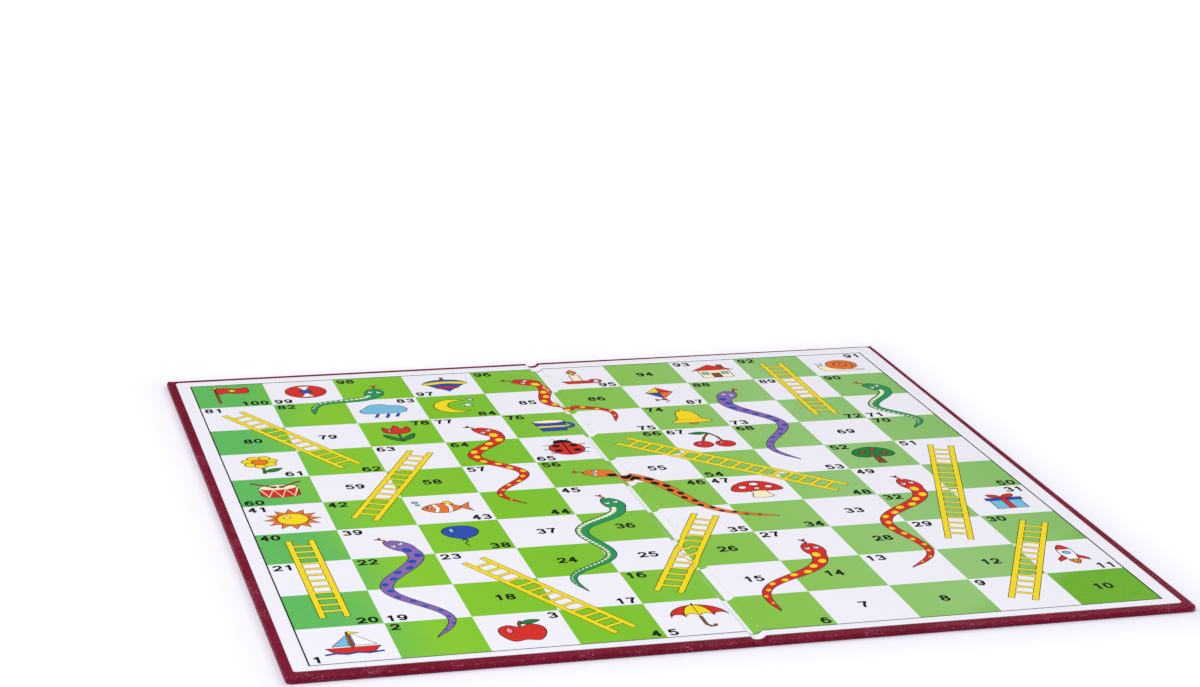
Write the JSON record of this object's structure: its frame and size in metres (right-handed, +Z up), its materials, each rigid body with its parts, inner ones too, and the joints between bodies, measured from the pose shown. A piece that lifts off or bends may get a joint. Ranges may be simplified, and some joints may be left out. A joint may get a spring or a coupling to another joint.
{
  "type": "snakes and ladders board",
  "caption": "Square folding game board with a numbered square grid, ladders and snakes, two wrapped greyboard panels and a creased spine between them.",
  "frame": {"origin": "centre of the underside of the open board, in the middle of the fold", "axes": "+Z up, out of the playing face; +X towards the right panel; +Y towards the last row of squares"},
  "size_m": [0.34, 0.34, 0.0023],
  "materials": {
    "greyboard": "dense pressed greyboard, uncoated",
    "wrap_paper": "maroon paper embossed with a leather grain, slightly glossy",
    "hinge_cloth": "plain woven cotton tape",
    "printed_sheet": "white printed paper under a glossy film",
    "green_ink": "green print under a glossy film",
    "black_ink": "black print under a glossy film",
    "yellow_ink": "yellow print under a glossy film",
    "snake_ink": "red, green, purple and orange print under a glossy film"
  },
  "bodies": {
    "spine": {"spine_cover": "wrap_paper", "hinge_tape": "hinge_cloth", "spine_front_turn_in": "wrap_paper", "spine_rear_turn_in": "wrap_paper", "groove_sheet": "printed_sheet", "groove_green_squares": "green_ink", "groove_frame_line": "black_ink", "groove_ladders": "yellow_ink", "groove_snakes": "snake_ink"},
    "left_panel": {"left_greyboard": "greyboard", "left_back_cover": "wrap_paper", "left_front_turn_in": "wrap_paper", "left_rear_turn_in": "wrap_paper", "left_side_turn_in": "wrap_paper", "left_hinge_wing": "hinge_cloth", "left_playing_sheet": "printed_sheet", "left_green_squares": "green_ink", "left_frame_line": "black_ink", "left_ladders": "yellow_ink", "left_snakes": "snake_ink"},
    "right_panel": {"right_greyboard": "greyboard", "right_back_cover": "wrap_paper", "right_front_turn_in": "wrap_paper", "right_rear_turn_in": "wrap_paper", "right_side_turn_in": "wrap_paper", "right_hinge_wing": "hinge_cloth", "right_playing_sheet": "printed_sheet", "right_green_squares": "green_ink", "right_frame_line": "black_ink", "right_ladders": "yellow_ink", "right_snakes": "snake_ink"}
  },
  "joints": [
    {"name": "left_crease", "type": "hinge", "parent": "spine", "child": "left_panel", "pos_m": [-0.0021, 0, 0.00035], "axis": [0, 1, 0], "range_deg": [0, 90]},
    {"name": "right_crease", "type": "hinge", "parent": "spine", "child": "right_panel", "pos_m": [0.0021, 0, 0.00035], "axis": [0, -1, 0], "range_deg": [0, 90]}
  ]
}
